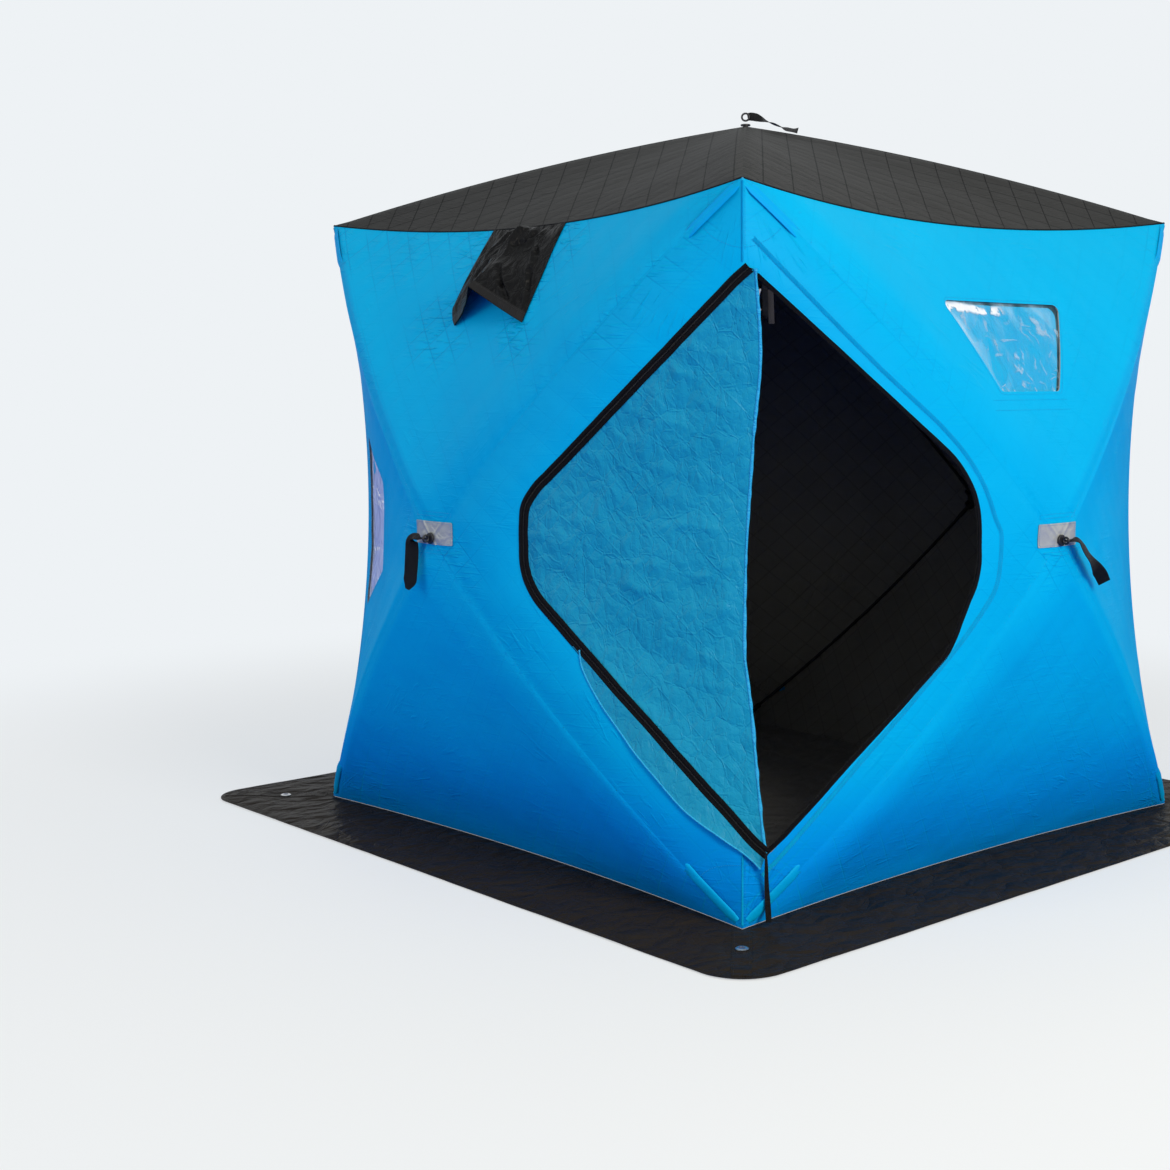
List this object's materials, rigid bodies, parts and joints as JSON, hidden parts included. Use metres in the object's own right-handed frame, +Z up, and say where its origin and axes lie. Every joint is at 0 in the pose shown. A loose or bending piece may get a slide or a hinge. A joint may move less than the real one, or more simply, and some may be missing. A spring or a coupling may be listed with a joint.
{
  "type": "pop-up ice fishing hut",
  "caption": "Pop-up ice fishing hut: a quilted cloth cube held out by sprung rods and hubs, with an open corner door, windows, vents and a skirt.",
  "frame": {"origin": "on the ice in the middle of the hut", "axes": "+Z up, the front wall faces -Y and the right wall +X, with the door across the corner between them"},
  "size_m": [2.36, 2.36, 2.0781],
  "materials": {
    "wall_cloth": "quilted oxford, satin",
    "roof_cloth": "quilted oxford, satin",
    "door_cloth": "quilted oxford, satin",
    "skirt_cloth": "coated oxford, satin",
    "skirt_tape": "coated tape, satin",
    "ground_cloth": "coated oxford, satin",
    "hood_cloth": "coated oxford, satin",
    "reflective_cloth": "reflective tape, satin",
    "webbing": "woven tape, matte",
    "zip_tape": "coil zip on woven tape, satin",
    "vent_mesh": "knitted mesh, matte",
    "window_film": "clear vinyl film, gloss",
    "hub_plastic": "moulded, matte",
    "socket_plastic": "moulded, matte",
    "rod_fibreglass": "pultruded glass fibre, satin",
    "grommet_metal": "pressed, satin"
  },
  "bodies": {
    "root": {"back_hub": "hub_plastic", "back_rods": "rod_fibreglass", "back_vent_hood": "hood_cloth", "back_wall_bottom_panel": "wall_cloth", "back_wall_left_panel": "wall_cloth", "back_wall_right_panel": "wall_cloth", "back_wall_top_panel": "wall_cloth", "back_wall_window": "window_film", "door_flap": "door_cloth", "door_open_zip": "zip_tape", "door_storm_flap": "wall_cloth", "door_zip": "zip_tape", "eave_corner_sockets": "socket_plastic", "foot_corner_sockets": "socket_plastic", "front_hub": "hub_plastic", "front_rods": "rod_fibreglass", "front_vent_hood": "hood_cloth", "front_wall_bottom_panel": "wall_cloth", "front_wall_left_panel": "wall_cloth", "front_wall_right_panel": "wall_cloth", "front_wall_top_panel": "wall_cloth", "front_wall_window": "window_film", "ground_sheet": "ground_cloth", "left_hub": "hub_plastic", "left_rods": "rod_fibreglass", "left_wall_bottom_panel": "wall_cloth", "left_wall_left_panel": "wall_cloth", "left_wall_right_panel": "wall_cloth", "left_wall_top_panel": "wall_cloth", "left_wall_window": "window_film", "pull_straps": "webbing", "reflective_patches": "reflective_cloth", "right_hub": "hub_plastic", "right_rods": "rod_fibreglass", "right_wall_bottom_panel": "wall_cloth", "right_wall_left_panel": "wall_cloth", "right_wall_right_panel": "wall_cloth", "right_wall_top_panel": "wall_cloth", "right_wall_window": "window_film", "roof_back_panel": "roof_cloth", "roof_front_panel": "roof_cloth", "roof_hub": "hub_plastic", "roof_left_panel": "roof_cloth", "roof_right_panel": "roof_cloth", "roof_rods": "rod_fibreglass", "skirt_corner_tapes": "skirt_tape", "skirt_grommets": "grommet_metal", "snow_skirt": "skirt_cloth", "vent_meshes": "vent_mesh", "window_covers": "wall_cloth"}
  },
  "joints": []
}
